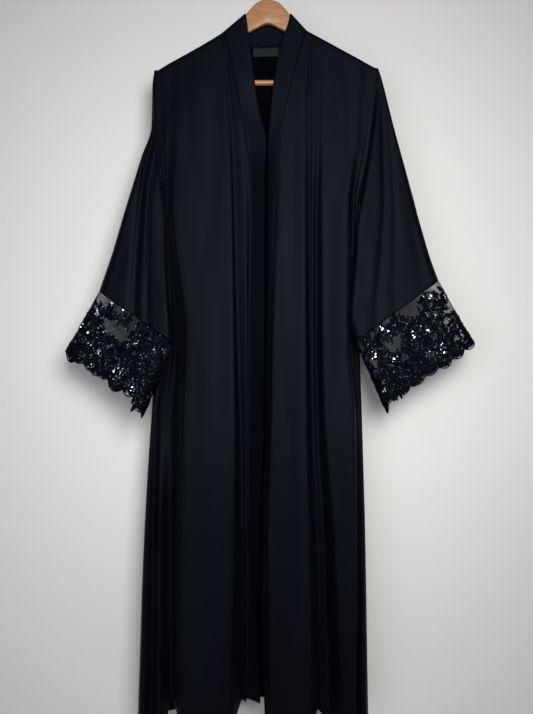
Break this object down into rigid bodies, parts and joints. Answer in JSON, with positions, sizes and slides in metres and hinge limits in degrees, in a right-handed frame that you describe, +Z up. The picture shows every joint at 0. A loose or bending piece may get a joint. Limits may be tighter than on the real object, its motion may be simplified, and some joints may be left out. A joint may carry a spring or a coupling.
{
  "type": "abaya cloak on wooden hanger",
  "caption": "Open-front black abaya cloak with wide sleeves and scalloped lace cuffs, hung flat on a wooden hanger by its wire hook.",
  "frame": {"origin": "inside top of the hook's curve, where it rests on a rod", "axes": "+Z up, the garment's front faces -Y, the wearer's right side is at -X"},
  "size_m": [0.8297, 0.1316, 1.5388],
  "materials": {
    "crepe": "soft black crepe with a low sheen",
    "satin_band": "smooth blue-black satin-back band",
    "beaded_lace": "sheer black net with thick floral applique, sequins and beads",
    "woven_label": "dark woven ribbon, bare",
    "wood": "honey wood, satin lacquer",
    "steel": "plated steel wire"
  },
  "bodies": {
    "root": {"front_right": "crepe", "front_left": "crepe", "back_panel": "crepe", "sleeve_right": "crepe", "sleeve_left": "crepe", "band_right": "satin_band", "band_left": "satin_band", "band_back_neck": "satin_band", "cuff_right_front": "beaded_lace", "cuff_right_back": "beaded_lace", "cuff_left_front": "beaded_lace", "cuff_left_back": "beaded_lace", "label": "woven_label", "hanger_wood": "wood", "hanger_bar": "wood", "hanger_hook": "steel"}
  },
  "joints": []
}
